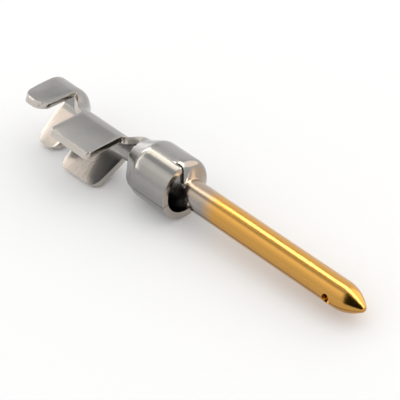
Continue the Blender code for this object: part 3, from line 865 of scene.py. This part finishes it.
def pale_floor():
    """A sheet of plain white board."""
    material, tree = empty_material("white_board")
    shader = add(
        tree,
        "ShaderNodeBsdfPrincipled",
        {"Base Color": linear(FLOOR), "Roughness": FLOOR_ROUGHNESS},
    )
    add(tree, "ShaderNodeOutputMaterial", {"Surface": shader.outputs[0]})
    return material


def make_floor():
    sheet = bmesh.new()
    bmesh.ops.create_grid(sheet, x_segments=1, y_segments=1, size=FLOOR_HALF)
    mesh = bpy.data.meshes.new("floor")
    sheet.to_mesh(mesh)
    sheet.free()
    mesh.materials.append(pale_floor())
    floor = bpy.data.objects.new("floor", mesh)
    bpy.context.scene.collection.objects.link(floor)


class Studio:
    """Directions round the contact as it lies, for the camera, the lamp and the cards."""

    def __init__(self, turn, shift):
        self.ahead = turn @ Vector((1, 0, 0))
        self.opening = turn @ Vector((0, 1, 0))
        self.side = turn @ Vector((0, 0, 1))
        self.rear = shift

    def round_pin(self, degrees):
        """The direction square to the pin at this angle, where 0 faces the camera and + is down."""
        angle = math.radians(degrees - OPENING_ROLL)
        return math.cos(angle) * self.opening + math.sin(angle) * self.side

    def panel(self, around, along, distance, over):
        """The place of a panel that stands off the pin, level with it, and its two sizes.

        It reaches from the first to the second angle round the pin, and from the first to the
        second angle along it, as seen from the point of the pin that it stands over.
        """
        out = self.round_pin(sum(around) / 2)
        ends = [distance * math.tan(math.radians(angle)) for angle in along]
        width = 2 * distance * math.tan(math.radians(around[1] - around[0]) / 2)
        middle = self.rear + self.ahead * (over + sum(ends) / 2) + out * distance
        turn = Matrix((self.ahead, out.cross(self.ahead), out)).transposed().to_4x4()
        return Matrix.Translation(middle) @ turn, ends[1] - ends[0], width


def make_lamp(studio, name, around, along, radiance, colour, distance, over):
    light = bpy.data.lights.new(name, "AREA")
    light.shape = "RECTANGLE"
    place, light.size, light.size_y = studio.panel(around, along, distance, over)
    light.energy = radiance * math.pi * light.size * light.size_y
    light.color = linear(colour)[:3]
    item = bpy.data.objects.new(name, light)
    bpy.context.scene.collection.objects.link(item)
    item.visible_camera = False
    item.matrix_world = place


def make_card(studio, name, around, along, radiance, colour, distance, over):
    """A glowing card that only the metal's reflections see."""
    place, length, width = studio.panel(around, along, distance, over)
    sheet = bmesh.new()
    bmesh.ops.create_grid(sheet, x_segments=1, y_segments=1, size=0.5)
    bmesh.ops.scale(sheet, vec=(length, width, 1), verts=sheet.verts[:])
    mesh = bpy.data.meshes.new(name)
    sheet.to_mesh(mesh)
    sheet.free()
    material, tree = empty_material(name)
    glow = add(tree, "ShaderNodeEmission", {"Color": linear(colour), "Strength": radiance})
    add(tree, "ShaderNodeOutputMaterial", {"Surface": glow.outputs[0]})
    mesh.materials.append(material)
    item = bpy.data.objects.new(name, mesh)
    bpy.context.scene.collection.objects.link(item)
    item.visible_camera = False
    item.visible_diffuse = False
    item.visible_shadow = False
    item.visible_transmission = False
    item.matrix_world = place


def make_world():
    """A plain white world, which also fills the metal's reflections between the cards."""
    world = bpy.data.worlds.new("white_tent")
    bpy.context.scene.world = world
    world.use_nodes = True
    tree = world.node_tree
    tree.nodes.clear()
    light = add(tree, "ShaderNodeBackground", {"Color": (1, 1, 1, 1), "Strength": WORLD_LEVEL})
    add(tree, "ShaderNodeOutputWorld", {"Surface": light.outputs[0]})


def make_camera(studio):
    """The photograph's own view, which is set by how the pin runs in it."""
    down, towards = math.radians(PIN_DOWN), math.radians(PIN_TOWARDS_CAMERA)
    back = math.sin(towards) * studio.ahead + math.cos(towards) * studio.round_pin(0)
    along = (studio.ahead - math.sin(towards) * back) / math.cos(towards)
    across = back.cross(along)
    right = math.cos(down) * along + math.sin(down) * across
    up = math.cos(down) * across - math.sin(down) * along
    aimed = studio.rear + AIMED_AT * studio.ahead
    place = aimed + CAMERA_RIGHT * right + CAMERA_UP * up + CAMERA_DISTANCE * back
    data = bpy.data.cameras.new("camera")
    data.sensor_width = CAMERA_SENSOR
    data.lens = CAMERA_LENS
    data.clip_start = CAMERA_CLIP_START
    camera = bpy.data.objects.new("camera", data)
    bpy.context.scene.collection.objects.link(camera)
    turned = Matrix((right, up, back)).transposed().to_4x4()
    camera.matrix_world = Matrix.Translation(place) @ turned
    bpy.context.scene.camera = camera


bpy.context.scene.view_settings.view_transform = "Standard"
contact, turn, shift = make_contact()
contact.data.materials.append(plated_bronze())
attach(contact, BODY)
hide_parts(NODE)

studio = Studio(turn, shift)
make_camera(studio)
make_floor()
make_world()
make_lamp(studio, *LAMP)
for card in CARDS:
    make_card(studio, *card)
